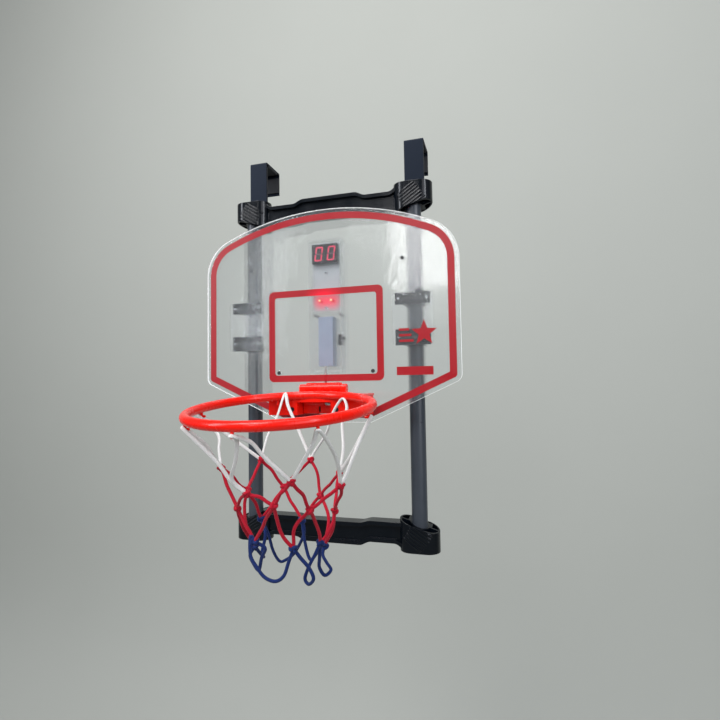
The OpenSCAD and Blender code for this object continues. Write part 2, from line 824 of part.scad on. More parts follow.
module rim_ring() {
    translate([0, ring_back_y, ring_z]) rotate([ring_droop, 0, 0]) translate([0, -ring_r, 0])
        rotate_extrude($fn = 120) translate([ring_r, 0]) circle(ring_t / 2, $fn = 32);
}

module rim_web() {
    horn_y = ring_y + ring_r * 0.7;
    translate([0, 0, box_top - box_wall]) linear_extrude(box_wall) difference() {
        polygon([[-box_w / 2, box_back], [box_w / 2, box_back], [ring_r * 0.72, horn_y],
                 [-ring_r * 0.72, horn_y]]);
        translate([0, ring_y]) circle(ring_r, $fn = 120);
        translate([-mount_w / 2 - 0.5, front_y - 9]) square([mount_w + 1, 12]);
    }
}

// A small hook under the ring for a loop of the net
module net_hook(a) {
    p = place(a, ring_r, ring_height(a));
    translate([p[0], p[1], p[2] - hook_dz]) {
        cylinder(h = hook_dz - ring_t / 2 + 2, r = 1.8, $fn = 24);
        rotate([0, 0, a + 180]) translate([0, 0, 1.6]) rotate([0, 90, 0]) cylinder(h = 5, r = 1.6, $fn = 24);
    }
}

module rim_box() {
    difference() {
        translate([0, 0, box_low]) linear_extrude(box_h) box_plan(0);
        difference() {
            translate([0, 0, box_low - 1]) linear_extrude(box_h + 1 - box_wall) box_plan(box_wall);
            block(-pocket_w / 2 - 2, pocket_w / 2 + 2, box_front, pocket_floor + 3,
                  box_low, box_low + pocket_h + 2);
            both_sides() rod_y(box_screw_x, box_screw_z, 4, box_front, box_back - back_plate_t - slip);
        }
        block(-box_w, box_w, box_back - back_plate_t - slip, 0, box_low - 1, box_top - box_wall);
        block(-pocket_w / 2, pocket_w / 2, box_front - 1, pocket_floor + 4, box_low - 1, box_low + pocket_h);
        both_sides() rod_y(box_screw_x, box_screw_z, 1.75 + slip, box_front - 1, 0);
        both_sides() rod_y(box_screw_x, box_screw_z, 3.4, box_front - 1, box_front + 1.6);
        translate([0, 0, box_top - box_wall - 1]) linear_extrude(box_wall + 2)
            translate([-mount_w / 2 - 0.5, front_y - 9]) square([mount_w + 1, 12]);
    }
}

module rim() {
    lug_x = mount_w / 2 + slip * 4 + knuckle_w / 2;
    color("#f0421c") difference() {
        union() {
            rim_ring();
            rim_web();
            rim_box();
            for (a = ring_turns) net_hook(a);
            both_sides() {
                rod_x(lug_x, hinge_y, hinge_z, knuckle_r, knuckle_w);
                block(lug_x - knuckle_w / 2, lug_x + knuckle_w / 2, hinge_y - knuckle_r, hinge_y + knuckle_r - 1,
                      box_top - 1, hinge_z);
            }
        }
        rod_x(0, hinge_y, hinge_z, rim_pin_d / 2 + pin_fit, box_w);
        rod_x(0, pocket_floor - 1, paddle_z, paddle_pin_d / 2 + pin_fit, pocket_w + 3);
    }
}

module rim_back_plate() {
    y1 = box_back;
    y0 = y1 - back_plate_t;
    z1 = box_top - box_wall - seat;
    notch = 12;
    color("#d93a1a") difference() {
        union() {
            block(-box_w / 2 + box_wall, box_w / 2 - box_wall, y0, y1, box_low, z1);
        }
        block(-notch, notch, y0 - 1, y1 + 1, box_low - 1, switch_z + 5 + 4);
        both_sides() rod_y(box_screw_x, box_screw_z, 1.75 + slip, y0 - 1, y1 + 1);
    }
}

module rim_box_screws() {
    color("#2a2c2f") both_sides() {
        rod_y(box_screw_x, box_screw_z, 3.2, box_front, box_front + 1.6);
        rod_y(box_screw_x, box_screw_z, 1.75, box_front + 1, box_back - 0.4);
    }
}

// Hinge block fixed to the board
module rim_mount() {
    color("#f0421c") difference() {
        union() {
            rod_x(0, hinge_y, hinge_z, mount_r, mount_w);
            block(-mount_w / 2, mount_w / 2, hinge_y, front_y, hinge_z - mount_r, hinge_z + mount_r + 1.5);
        }
        rod_x(0, hinge_y, hinge_z, rim_pin_d / 2 + pin_fit, box_w);
        both_sides() rod_y(mount_w / 2 - 8, hinge_z + 5, 1.3 + slip, front_y - 5, front_y + 1);
    }
}

module rim_mount_screws() {
    x = mount_w / 2 - 8;
    color("#b9bcc0") both_sides() {
        rod_y(x, hinge_z + 5, 3.4, back_y, back_y + 1.8);
        rod_y(x, hinge_z + 5, 1.3, front_y - 4.5, back_y + overlap);
    }
}

module rim_pin() {
    color("#b9bcc0") rod_x(0, hinge_y, hinge_z, rim_pin_d / 2, mount_w + 2 * knuckle_w + 1);
}

// Paddle in the pocket, hung on its own pin
module score_paddle() {
    half = pocket_w / 2 - 0.6;
    y0 = pocket_floor - 1 - paddle_t / 2;
    color("#e2401f") difference() {
        union() {
            block(-half, half, y0, y0 + paddle_t, box_low + 1, paddle_z);
            rod_x(0, pocket_floor - 1, paddle_z, paddle_knuckle_r, 2 * half);
        }
        rod_x(0, pocket_floor - 1, paddle_z, paddle_pin_d / 2 + pin_fit, box_w);
        block(-1.3, 1.3, y0 - 1, y0 + paddle_t + 1, box_low + 3, box_low + 11);
        block(8, 16, y0 - 4, y0 + 6, paddle_z - paddle_knuckle_r - 0.6, paddle_z + 4);
    }
}

module paddle_pin() {
    color("#b9bcc0") rod_x(0, pocket_floor - 1, paddle_z, paddle_pin_d / 2, pocket_w + 2.6);
}

// Light return spring around the paddle's pin
module paddle_spring() {
    color("#b9bcc0") difference() {
        rod_x(12, pocket_floor - 1, paddle_z, paddle_pin_d / 2 + 0.9, 7);
        rod_x(12, pocket_floor - 1, paddle_z, paddle_pin_d / 2 + 0.3, 9);
    }
}

// Net ----------------------------------------------------------------------------------------

module strand(p, q, d) {
    hull() {
        translate(p) sphere(d / 2, $fn = 8);
        translate(q) sphere(d / 2, $fn = 8);
    }
}

// Two legs of white braid from each hook to the first knots
module net_white() {
    color("#e9e8e6") for (i = [0 : 6]) {
        top = place(turn(i), ring_r - 4, ring_height(turn(i)) - hook_dz + 0.5);
        for (k = [knot_a(i), knot_a(i + 6)]) strand(top, k + (top - k) * cord_d / norm(top - k), white_d);
    }
}

module net_red() {
    color("#b5122a") for (i = [0 : 6]) {
        b = knot_b(i);
        for (p = [knot_a(i), b]) translate(p) sphere(knot_d / 2, $fn = 10);
        for (k = [knot_a(i), knot_a(i + 6)]) strand(k, b, cord_d);
        for (k = [knot_c(i), knot_c(i + 6)]) strand(b, k + (b - k) * knot_d / 2 / norm(b - k), cord_d);
    }
}

module net_blue() {
    color("#1d3f8f") for (i = [0 : 6]) {
        translate(knot_c(i)) sphere(knot_d / 2, $fn = 10);
        strand(knot_c(i), loop_low(i, 0.25), cord_d);
        strand(loop_low(i, 0.25), loop_low(i, 0.75), cord_d);
        strand(loop_low(i, 0.75), knot_c(i + 1), cord_d);
    }
}

hook_left();
hook_right();
hook_pads();
hook_screws();
tube_screws();
upper_crossbar();
lower_crossbar();
tube_upper_left();
tube_upper_right();
tube_lower_left();
tube_lower_right();
backboard();
border_print();
target_print();
emblem_print();
board_rivets();
plate_left();
plate_right();
clip_lower_left();
clip_lower_right();
clip_upper_left();
clip_upper_right();
clip_screws();
scorer_case();
scorer_cover();
battery_door();
battery_door_screws();
battery_tray();
battery_cells();
battery_contacts();
buzzer();
circuit_board();
circuit_board_screws();
display_case();
display_digits();
status_lamps();
power_switch_body();
power_switch_knob();
sensor_switch();
sensor_lead();
rim();
rim_back_plate();
rim_box_screws();
rim_mount();
rim_mount_screws();
rim_pin();
score_paddle();
paddle_pin();
paddle_spring();
net_white();
net_red();
net_blue();
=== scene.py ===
"""Looks of an over-door basketball hoop with an electronic scorer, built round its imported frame."""

import json
import math
import random

import bmesh
import bpy
from bpy.props import FloatProperty, FloatVectorProperty, IntProperty, PointerProperty
from mathutils import Matrix, Vector


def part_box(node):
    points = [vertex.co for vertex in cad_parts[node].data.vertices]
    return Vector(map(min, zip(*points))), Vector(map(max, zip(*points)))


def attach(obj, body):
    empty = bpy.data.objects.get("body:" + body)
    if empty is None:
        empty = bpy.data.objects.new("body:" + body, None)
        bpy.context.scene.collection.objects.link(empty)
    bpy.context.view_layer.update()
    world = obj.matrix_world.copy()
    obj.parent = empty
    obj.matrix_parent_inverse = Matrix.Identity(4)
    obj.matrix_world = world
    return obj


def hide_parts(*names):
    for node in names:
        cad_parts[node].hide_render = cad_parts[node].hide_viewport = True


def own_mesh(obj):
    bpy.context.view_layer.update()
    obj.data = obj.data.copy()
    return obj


bl_info = {
    "name": "Over-door hoop looks",
    "version": (1, 0, 0),
    "blender": (4, 5, 0),
    "location": "3D View > Sidebar > Hoop",
    "description": "Builds the finishes, the softened mouldings and the knotted net of an over-door "
                   "hoop",
    "category": "Object",
}

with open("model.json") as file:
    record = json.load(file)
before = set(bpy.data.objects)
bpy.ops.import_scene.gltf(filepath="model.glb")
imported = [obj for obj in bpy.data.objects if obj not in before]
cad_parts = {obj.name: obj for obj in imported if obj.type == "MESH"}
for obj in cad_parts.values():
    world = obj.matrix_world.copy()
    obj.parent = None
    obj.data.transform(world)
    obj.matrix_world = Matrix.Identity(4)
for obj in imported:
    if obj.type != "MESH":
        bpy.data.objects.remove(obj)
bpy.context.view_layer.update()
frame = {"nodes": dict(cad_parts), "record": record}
BODY_OF = {n: b for b, nodes in frame["record"]["behaviour"]["bodies"].items() for n in nodes}
MM = 0.001

# Sockets of a Mix node that mixes colours
MIX_FACTOR, MIX_FIRST, MIX_SECOND, MIX_RESULT = 0, 6, 7, 2

# In degrees: faces within FLAT of each other are one face, edges that turn more than SHARP (on the
# board SHEET_SHARP) are rounded, and edges that then turn more than CREASE are still shaded sharp
FLAT, SHARP, SHEET_SHARP, CREASE = 0.5, 32, 50, 40
# In metres: corners of a CAD mesh closer than this are one corner
WELD = 2e-6
# A full rounding is kept if its box grows and its volume changes by less than these
MOST_GROWTH, MOST_CHANGE = 0.2 * MM, 0.03
# Edge radius of the smaller mouldings, as a share of a crossbar's
CLIP_EDGE, RIM_EDGE, CASE_EDGE = 0.6, 0.7, 0.5

# How far the two lamps' light shows, in metres: in the ink, on the circuit board and in a lamp
INK_LIT_REACH, MASK_LIT_REACH, LAMP_TIP_REACH = 0.028, 0.021, 0.0034

# The ring's core in millimetres and degrees: its radius, its centre and the droop of its front
RING_RADIUS, RING_Y, RING_Z, RING_DROOP = 108, -199.5, -384.4, 6.5
# Cords: their map's name, the distance between their sections, and thickness by width
CORD_MAP, CORD_STEP = "cord", 2.2 * MM
CORD_FLATNESS, BRAID_FLATNESS = 0.9, 0.62
# A cord strays with waves of this many radians along its length, each from a random start
WANDER_BENDS, ANY_TURN = (7, 9, 11), 6.3

# The net's hang, in millimetres in the frame's own axes. Knots run round the ring from its left
# side through its front; knot i of a row lies after hook i, and the second row is under the hooks.
FIRST_KNOTS = [
    (-63, -227, -464), (-8, -266, -482), (43, -266, -468), (83, -227, -478), (59, -162, -478),
    (8, -128, -468), (-46, -162, -464),
]
SECOND_KNOTS = [
    (-44, -200, -494), (-33, -242, -505), (20, -260, -495), (53, -242, -502), (66, -200, -512),
    (28, -147, -509), (-22, -147, -501),
]
THIRD_KNOTS = [
    (-26, -216, -554), (-13, -240, -540), (33, -240, -544), (54, -215, -544), (46, -181, -558),
    (7, -156, -538), (-38, -177, -534),
]
# Each hook's two legs of braid: the knot it ends at, and the spots it passes on the way there
WHITE_LEGS = [
    (6, [], 0, [(-80, -209, -427), (-72, -218, -446)]),
    (0, [(-66, -258, -431), (-63, -242, -450)], 1, [(-41, -271, -448), (-26, -268, -468)]),
    (1, [(-3, -294, -423), (-10, -285, -445), (-20, -275, -467)],
     2, [(12, -294, -425), (21, -285, -439), (36, -275, -457)]),
    (2, [(70, -271, -427), (55, -268, -450)], 3, [(84, -258, -436), (85, -242, -455)]),
    (3, [(99, -206, -432), (94, -213, -447), (88, -220, -465)],
     4, [(96, -187, -427), (77, -175, -455)]),
    (4, [(57, -121, -400), (55, -135, -418), (60, -149, -451)],
     5, [(35, -113, -407), (26, -118, -435), (12, -123, -457)]),
    (5, [(-31, -113, -397), (-19, -118, -417), (-2, -123, -450)],
     6, [(-42, -126, -413), (-46, -144, -436)]),
]
# Each cord's two knots, by row and number, and the spots it passes between them
RED_LEGS = [
    ("a0b0", [(-55, -218, -474), (-49, -209, -487)]),
    ("a0b1", [(-50, -234, -483)]),
    ("a1b1", [(-23, -254, -492)]),
    ("a1b2", [(7, -263, -487)]),
    ("a2b2", [(32, -263, -479)]),
    ("a2b3", [(49, -254, -483)]),
    ("a3b3", [(65, -234, -492)]),
    ("a3b4", [(80, -218, -487), (72, -209, -501)]),
    ("a4b4", [(61, -181, -496)]),
    ("a4b5", [(42, -154, -494)]),
    ("a5b5", [(20, -134, -485), (24, -140, -501)]),
    ("a5b6", [(-6, -137, -483)]),
    ("a6b6", [(-34, -154, -481)]),
    ("a6b0", [(-47, -181, -482)]),
    ("b0c6", [(-41, -188, -513)]),
    ("b0c0", [(-46, -205, -511), (-40, -211, -531)]),
    ("b1c0", [(-36, -233, -517), (-34, -225, -533)]),
    ("b1c1", [(-27, -241, -517)]),
    ("b2c1", [(6, -250, -513)]),
    ("b2c2", [(20, -253, -510), (23, -247, -528)]),
    ("b3c2", [(39, -241, -516), (34, -241, -527)]),
    ("b3c3", [(54, -233, -513), (56, -224, -529)]),
    ("b4c3", [(64, -205, -527), (59, -210, -538)]),
    ("b4c4", [(62, -193, -529), (55, -187, -544)]),
    ("b5c4", [(39, -158, -519), (47, -169, -535)]),
    ("b5c5", [(16, -151, -524)]),
    ("b6c5", [(-10, -151, -517)]),
    ("b6c6", [(-27, -162, -514)]),
]
BLUE_LOOPS = [
    ("c0c1", [(-29, -222, -562), (-20, -228, -570), (-12, -232, -573),
              (-7, -236, -558), (-2, -238, -547)]),
    ("c1c2", [(-17, -242, -534), (-16, -244, -553), (-7, -246, -565), (2, -246, -575),
              (14, -246, -578), (23, -244, -572), (28, -242, -558)]),
    ("c2c3", [(40, -239, -553), (50, -237, -564), (54, -235, -575), (47, -232, -583),
              (41, -229, -579), (44, -225, -567), (49, -220, -556)]),
    ("c3c4", [(51, -211, -562), (49, -207, -574), (54, -203, -584),
              (60, -198, -579), (53, -193, -573), (46, -187, -567)]),
    ("c4c5", [(34, -170, -570), (20, -162, -583), (11, -158, -565)]),
    ("c5c6", [(9, -155, -555), (-3, -155, -579), (-16, -157, -589),
              (-23, -160, -589), (-30, -164, -575), (-33, -170, -554)]),
    ("c6c0", [(-30, -183, -551), (-30, -190, -568), (-24, -198, -572), (-24, -207, -565)]),
]
ROWS = {"a": FIRST_KNOTS, "b": SECOND_KNOTS, "c": THIRD_KNOTS}
# Top of each braid: its turn round the ring, and how far outward of the core and above it it lies
BRAID_TOPS = (
    (180, 3.0, -8.5), (225, 3.0, -8.5), (270, 3.0, -8.5), (315, 3.0, -8.5), (360, 3.0, -8.5),
    (422.5, -6.0, -2.6), (473, -5.8, 4.4),
)


def linear(code):
    """Turn an sRGB hex colour into linear red, green and blue."""
    parts = [int(code[i : i + 2], 16) / 255 for i in (0, 2, 4)]
    return tuple(c / 12.92 if c <= 0.04045 else ((c + 0.055) / 1.055) ** 2.4 for c in parts)


def paint(code):
    """Turn an sRGB hex colour into a linear colour that covers fully."""
    return (*linear(code), 1)


def shade(colour, factor):
    """The same colour, lighter or darker."""
    return tuple(min(1, c * factor) for c in colour)


# Settings -----------------------------------------------------------------------------------


class HOOP_PG_sizes(bpy.types.PropertyGroup):
    """Sizes of the softened edges, the cords and the knots."""

    moulded_edge: FloatProperty(
        name="Moulded edge", description="Radius of the edges of moulded plastic",
        default=0.0006, min=0.0001, max=0.002, unit="LENGTH",
    )
    steel_edge: FloatProperty(
        name="Steel edge", description="Radius of the edges of the hook strip",
        default=0.0004, min=0.0001, max=0.001, unit="LENGTH",
    )
    board_edge: FloatProperty(
        name="Board edge", description="Width of the polished bevel round the board",
        default=0.0009, min=0.0001, max=0.0015, unit="LENGTH",
    )
    white_width: FloatProperty(
        name="White braid", description="Width of the flat white braid",
        default=0.0046, min=0.002, max=0.008, unit="LENGTH",
    )
    cord_width: FloatProperty(
        name="Coloured cord", description="Diameter of the red and blue cord",
        default=0.004, min=0.002, max=0.006, unit="LENGTH",
    )
    knot_width: FloatProperty(
        name="Knot", description="Diameter of a tied knot",
        default=0.0102, min=0.005, max=0.014, unit="LENGTH",
    )
    cord_sides: IntProperty(
        name="Cord sides", description="Number of faces round a cord",
        default=10, min=6, max=20,
    )


class HOOP_PG_colours(bpy.types.PropertyGroup):
    """Colours of the main finishes."""

    rim: FloatVectorProperty(
        name="Rim", description="Colour of the moulded rim", subtype="COLOR",
        size=3, min=0, max=1, default=linear("f41603"),
    )
    ink: FloatVectorProperty(
        name="Printed ink", description="Colour of the border, target and emblem", subtype="COLOR",
        size=3, min=0, max=1, default=linear("96101b"),
    )
    tube: FloatVectorProperty(
        name="Tubes", description="Colour of the painted tubes", subtype="COLOR",
        size=3, min=0, max=1, default=linear("353a41"),
    )
    bar: FloatVectorProperty(
        name="Crossbars", description="Colour of the moulded crossbars and clips", subtype="COLOR",
        size=3, min=0, max=1, default=linear("05090f"),
    )
    backdrop: FloatVectorProperty(
        name="Backdrop", description="Colour of the floor and the wall behind", subtype="COLOR",
        size=3, min=0, max=1, default=linear("acaea8"),
    )


# Materials ----------------------------------------------------------------------------------


def add(tree, kind, inputs=None, **settings):
    """Add a node, give it its settings, and fill or link its inputs."""
    node = tree.nodes.new(kind)
    for key, value in settings.items():
        setattr(node, key, value)
    for key, value in (inputs or {}).items():
        if isinstance(value, bpy.types.NodeSocket):
            tree.links.new(value, node.inputs[key])
        else:
            node.inputs[key].default_value = value
    return node


def noise(tree, place, size_mm, **sockets):
    """Noise from 0 to 1 whose features are about size_mm apart on the given coordinates."""
    inputs = {"Vector": place, "Scale": 1000 / size_mm, **sockets}
    return add(tree, "ShaderNodeTexNoise", inputs).outputs["Fac"]


def blend(tree, factor, first, second):
    """A colour between two others."""
    inputs = {MIX_FACTOR: factor, MIX_FIRST: first, MIX_SECOND: second}
    return add(tree, "ShaderNodeMix", inputs, data_type="RGBA").outputs[MIX_RESULT]


def ramp(tree, value, start, end, low, high, **settings):
    """Stretch a value from the range start to end over the range low to high."""
    inputs = {"Value": value, "From Min": start, "From Max": end, "To Min": low, "To Max": high}
    return add(tree, "ShaderNodeMapRange", inputs, **settings).outputs[0]


def work_out(tree, operation, *values, **settings):
    """One step of arithmetic on numbers or sockets."""
    inputs = dict(enumerate(values))
    return add(tree, "ShaderNodeMath", inputs, operation=operation, **settings).outputs[0]


def bump(tree, height, strength, depth_mm, **sockets):
    """A normal bumped by a height, depth_mm deep at full strength."""
    inputs = {"Height": height, "Strength": strength, "Distance": depth_mm * MM, **sockets}
    return add(tree, "ShaderNodeBump", inputs).outputs[0]


def start_material(name, sockets):
    """Start a material: its tree, its shader with the given sockets, and Object coordinates."""
    made = bpy.data.materials.new(name)
    made.use_nodes = True
    tree = made.node_tree
    tree.nodes.clear()
    shader = add(tree, "ShaderNodeBsdfPrincipled", sockets)
    add(tree, "ShaderNodeOutputMaterial", {"Surface": shader.outputs[0]})
    place = add(tree, "ShaderNodeTexCoord").outputs["Object"]
    return made, tree, shader, place


def vary(tree, shader, place, colour, other, patch_mm, rough, grain_mm, depth_mm):
    """Drive colour and roughness by soft patches, and bump by a finer grain."""
    patches = noise(tree, place, patch_mm, Detail=4.0, Roughness=0.6)
    tint = blend(tree, patches, (*colour, 1), (*other, 1))
    tree.links.new(tint, shader.inputs["Base Color"])
    tree.links.new(ramp(tree, patches, 0.3, 0.7, *rough), shader.inputs["Roughness"])
    grain = noise(tree, place, grain_mm, Detail=3.0)
    normal = bump(tree, grain, 0.5, depth_mm)
    tree.links.new(normal, shader.inputs["Normal"])
    return normal


def powder_coated_steel():
    """Polyester powder coat on steel strip: satin, with a fine orange peel."""
    made, tree, shader, place = start_material(
        "powder coated steel, satin black",
        {"IOR": 1.5, "Specular IOR Level": 0.2, "Specular Tint": paint("c4d8ff")})
    vary(tree, shader, place, linear("070b12"), linear("0d131b"), 14, (0.4, 0.54), 0.9, 0.05)
    return made


def moulded_abs(colour):
    """Injection moulded ABS: glossy, with faint flow marks that break up its highlights."""
    made, tree, shader, place = start_material(
        "abs, moulded glossy black", {"IOR": 1.5, "Specular IOR Level": 0.32})
    vary(tree, shader, place, colour, shade(colour, 1.3), 22, (0.15, 0.28), 1.6, 0.02)
    return made


def painted_tube(colour):
    """Baked enamel on drawn steel tube: semi-gloss, with faint draw lines along the tube."""
    made, tree, shader, place = start_material("steel tube, baked enamel grey", {"IOR": 1.5})
    paint_grain = vary(tree, shader, place, colour, shade(colour, 1.25), 30, (0.26, 0.4), 1.2, 0.03)
    stretched = add(tree, "ShaderNodeMapping", {"Vector": place, "Scale": (1, 1, 0.01)})
    lines = noise(tree, stretched.outputs[0], 0.8, Detail=2.0)
    tree.links.new(bump(tree, lines, 0.35, 0.03, Normal=paint_grain), shader.inputs["Normal"])
    return made


def glossy_pp(colour):
    """Moulded polypropylene: bright, glossy, with light let a little way in."""
    made, tree, shader, place = start_material(
        "polypropylene, moulded orange red",
        {"IOR": 1.49, "Specular IOR Level": 0.28, "Coat Weight": 0.12, "Coat Roughness": 0.1,
         "Subsurface Weight": 0.08, "Subsurface Scale": 0.003,
         "Subsurface Radius": (1.0, 0.25, 0.1)})
    vary(tree, shader, place, colour, shade(colour, 0.86), 26, (0.2, 0.32), 2.2, 0.03)
    return made


def clear_sheet():
    """Extruded polycarbonate sheet: clear and polished, with a faint milky haze in streaks.

    Slow waves in the sheet break up what it mirrors.
    """
    made, tree, shader, place = start_material(
        "polycarbonate, clear polished sheet",
        {"Base Color": paint("f3f7f8"), "IOR": 1.58, "Alpha": 0.42, "Transmission Weight": 0.93,
         "Coat Weight": 0.8, "Coat Roughness": 0.14})
    stretched = add(tree, "ShaderNodeMapping", {"Vector": place, "Scale": (1, 1, 0.08)})
    streaks = noise(tree, stretched.outputs[0], 26, Detail=4.0)
    tree.links.new(ramp(tree, streaks, 0.35, 0.7, 0.015, 0.06), shader.inputs["Roughness"])
    waves = noise(tree, place, 24, Detail=5.0)
    tree.links.new(bump(tree, waves, 1.0, 0.34), shader.inputs["Normal"])
    return made


def sawn_edge():
    """The sheet's sawn and flamed edge: the light it gathers is painted in, so it shows white and
    bright.
    """
    made, tree, shader, place = start_material(
        "polycarbonate, flamed edge, painted glow",
        {"IOR": 1.58, "Alpha": 0.94, "Emission Strength": 0.65, "Emission Color": paint("ffffff")})
    vary(tree, shader, place, linear("f6f9fa"), linear("dfe6e8"), 9, (0.12, 0.3), 0.7, 0.05)
    return made


def lamp_spill(tree, place, reach):
    """How strongly each spot is lit by the two lamps, from 1 beside one to 0 at the given reach."""
    low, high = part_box("status_lamps")
    side, depth, height = high.x - (high.z - low.z) / 2, low.y, (low.z + high.z) / 2
    spills = []
    for lamp in ((-side, depth, height), (side, depth, height)):
        away = add(tree, "ShaderNodeVectorMath", {0: place, 1: lamp}, operation="DISTANCE")
        spills.append(ramp(tree, away.outputs["Value"], 0.0, reach, 1.0, 0.0,
                           interpolation_type="SMOOTHSTEP"))
    return work_out(tree, "ADD", *spills, use_clamp=True)


def glow_near_lamps(tree, shader, spill, strength):
    """Let a finish shine where the lamps light it."""
    tree.links.new(work_out(tree, "MULTIPLY", spill, strength), shader.inputs["Emission Strength"])


def screen_ink(colour):
    """Screen printed gloss ink, a little uneven; the lamps behind it light it up beside them."""
    made, tree, shader, place = start_material(
        "screen ink, gloss red",
        {"IOR": 1.5, "Specular IOR Level": 0.4, "Alpha": 0.96, "Emission Color": paint("ff1036")})
    vary(tree, shader, place, colour, shade(colour, 1.18), 34, (0.28, 0.42), 0.5, 0.01)
    glow_near_lamps(tree, shader, lamp_spill(tree, place, INK_LIT_REACH), 0.6)
    return made


def clear_case():
    """Moulded clear polystyrene, thinner and cloudier than the board."""
    made, tree, shader, place = start_material(
        "polystyrene, moulded clear",
        {"Base Color": paint("edf1f3"), "IOR": 1.59, "Alpha": 0.24, "Transmission Weight": 0.7})
    cloud = noise(tree, place, 12, Detail=3.0)
    tree.links.new(ramp(tree, cloud, 0.0, 1.0, 0.03, 0.1), shader.inputs["Roughness"])
    return made


def plain_finish(name, colour, other, rough, grain_mm=1.0, depth_mm=0.02, patch_mm=8, metallic=0.0):
    """A moulded, plated or cut finish with its own small grain."""
    made, tree, shader, place = start_material(name, {"Metallic": metallic})
    vary(tree, shader, place, linear(colour), linear(other), patch_mm, rough, grain_mm, depth_mm)
    return made


def solder_mask():
    """White solder mask on a fibreglass board, with the lamps' red light spilling over it."""
    made, tree, shader, place = start_material(
        "fr4 board, white solder mask", {"IOR": 1.5, "Emission Color": paint("ff1240")})
    vary(tree, shader, place, linear("c2c5c6"), linear("b2b8bd"), 6, (0.35, 0.5), 0.5, 0.02)
    spill = lamp_spill(tree, place, MASK_LIT_REACH)
    white = shader.inputs["Base Color"].links[0].from_socket
    tree.links.new(blend(tree, spill, white, paint("d81a44")), shader.inputs["Base Color"])
    glow_near_lamps(tree, shader, spill, 0.75)
    return made


def lit_segment():
    """Epoxy over a lit bar of a digit: an even glow, a little paler here and there."""
    made, tree, shader, place = start_material(
        "epoxy, lit segment",
        {"Base Color": paint("5a0f20"), "Roughness": 0.35, "Emission Strength": 0.85})
    glow = blend(tree, noise(tree, place, 3), paint("ff2c58"), paint("ff4672"))
    tree.links.new(glow, shader.inputs["Emission Color"])
    return made


def lit_lamp():
    """Diffused epoxy lamp: hot at its tip and deep red at its rim."""
    made, tree, shader, place = start_material(
        "epoxy, lit red lamp",
        {"Base Color": paint("7a0614"), "Roughness": 0.3, "Emission Strength": 1.7})
    near_tip = lamp_spill(tree, place, LAMP_TIP_REACH)
    glow = blend(tree, near_tip, paint("9a0012"), paint("ffc49a"))
    tree.links.new(glow, shader.inputs["Emission Color"])
    return made


def braided_cord(name, colour, dark, strand_mm, girth_mm):
    """Braided polyester: strands cross in a herring-bone, read from the cord's own map, with painted
    shade where they dip.

    The map runs once round the cord and in millimetres along it. The strands of such a cord are
    about half a millimetre wide; they are drawn two to three times as coarse, so that they show.
    """
    made, tree, shader, place = start_material(
        name, {"IOR": 1.5, "Roughness": 0.72, "Specular IOR Level": 0.25, "Sheen Weight": 0.08,
               "Sheen Roughness": 0.4})
    own = add(tree, "ShaderNodeUVMap", uv_map=CORD_MAP)
    parts = add(tree, "ShaderNodeSeparateXYZ", {0: own.outputs[0]})
    strands = round(girth_mm / strand_mm)
    around = work_out(tree, "MULTIPLY", parts.outputs[0], 2 * math.pi * strands)
    along = work_out(tree, "MULTIPLY", parts.outputs[1], 2 * math.pi / strand_mm)
    waves = [work_out(tree, "SINE", work_out(tree, way, around, along))
             for way in ("ADD", "SUBTRACT")]
    lift = ramp(tree, work_out(tree, "MAXIMUM", *waves), -0.4, 1.0, 0.0, 1.0)
    # Painted shade: where the strands dip between crossings they take the darker colour
    tint = blend(tree, lift, (*dark, 1), (*colour, 1))
    fuzz = noise(tree, place, 0.5, Detail=3.0)
    tree.links.new(blend(tree, fuzz, tint, (*colour, 1)), shader.inputs["Base Color"])
    woven = bump(tree, lift, 0.8, 0.35)
    tree.links.new(bump(tree, fuzz, 0.4, 0.15, Normal=woven), shader.inputs["Normal"])
    return made


# Shaping ------------------------------------------------------------------------------------


def repaint(material, *nodes):
    """Give CAD nodes a finish, in every slot they have."""
    for node in nodes:
        worn = frame["nodes"][node].data.materials
        for slot in range(len(worn)):
            worn[slot] = material
        if len(worn) == 0:
            worn.append(material)


def new_piece(name, bm, *materials):
    """Make a piece of a finished bmesh, at the origin."""
    mesh = bpy.data.meshes.new(name)
    bm.to_mesh(mesh)
    bm.free()
    for material in materials:
        mesh.materials.append(material)
    piece = bpy.data.objects.new(name, mesh)
    bpy.context.scene.collection.objects.link(piece)
    return piece


def stands_for(piece, node, body):
    """Let a piece take a CAD node's place, on the given body."""
    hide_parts(node)
    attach(piece, body)


def merged_copy(node):
    """A closed bmesh of a CAD node, with its flat faces whole again."""
    bm = bmesh.new()
    bm.from_mesh(frame["nodes"][node].data)
    bmesh.ops.remove_doubles(bm, verts=bm.verts, dist=WELD)
    bmesh.ops.dissolve_limit(bm, angle_limit=math.radians(FLAT), verts=bm.verts, edges=bm.edges)
    return bm


def crisp_shading(bm):
    """Shade smooth, but keep the edges that turn more than a crease sharp."""
    for face in bm.faces:
        face.smooth = True
    for edge in bm.edges:
        edge.smooth = edge.is_manifold and edge.calc_face_angle(0) < math.radians(CREASE)


def reach_of(bm):
    """The box round a bmesh, as six numbers."""
    spots = [v.co for v in bm.verts]
    return [pick(v[k] for v in spots) for pick in (min, max) for k in range(3)]


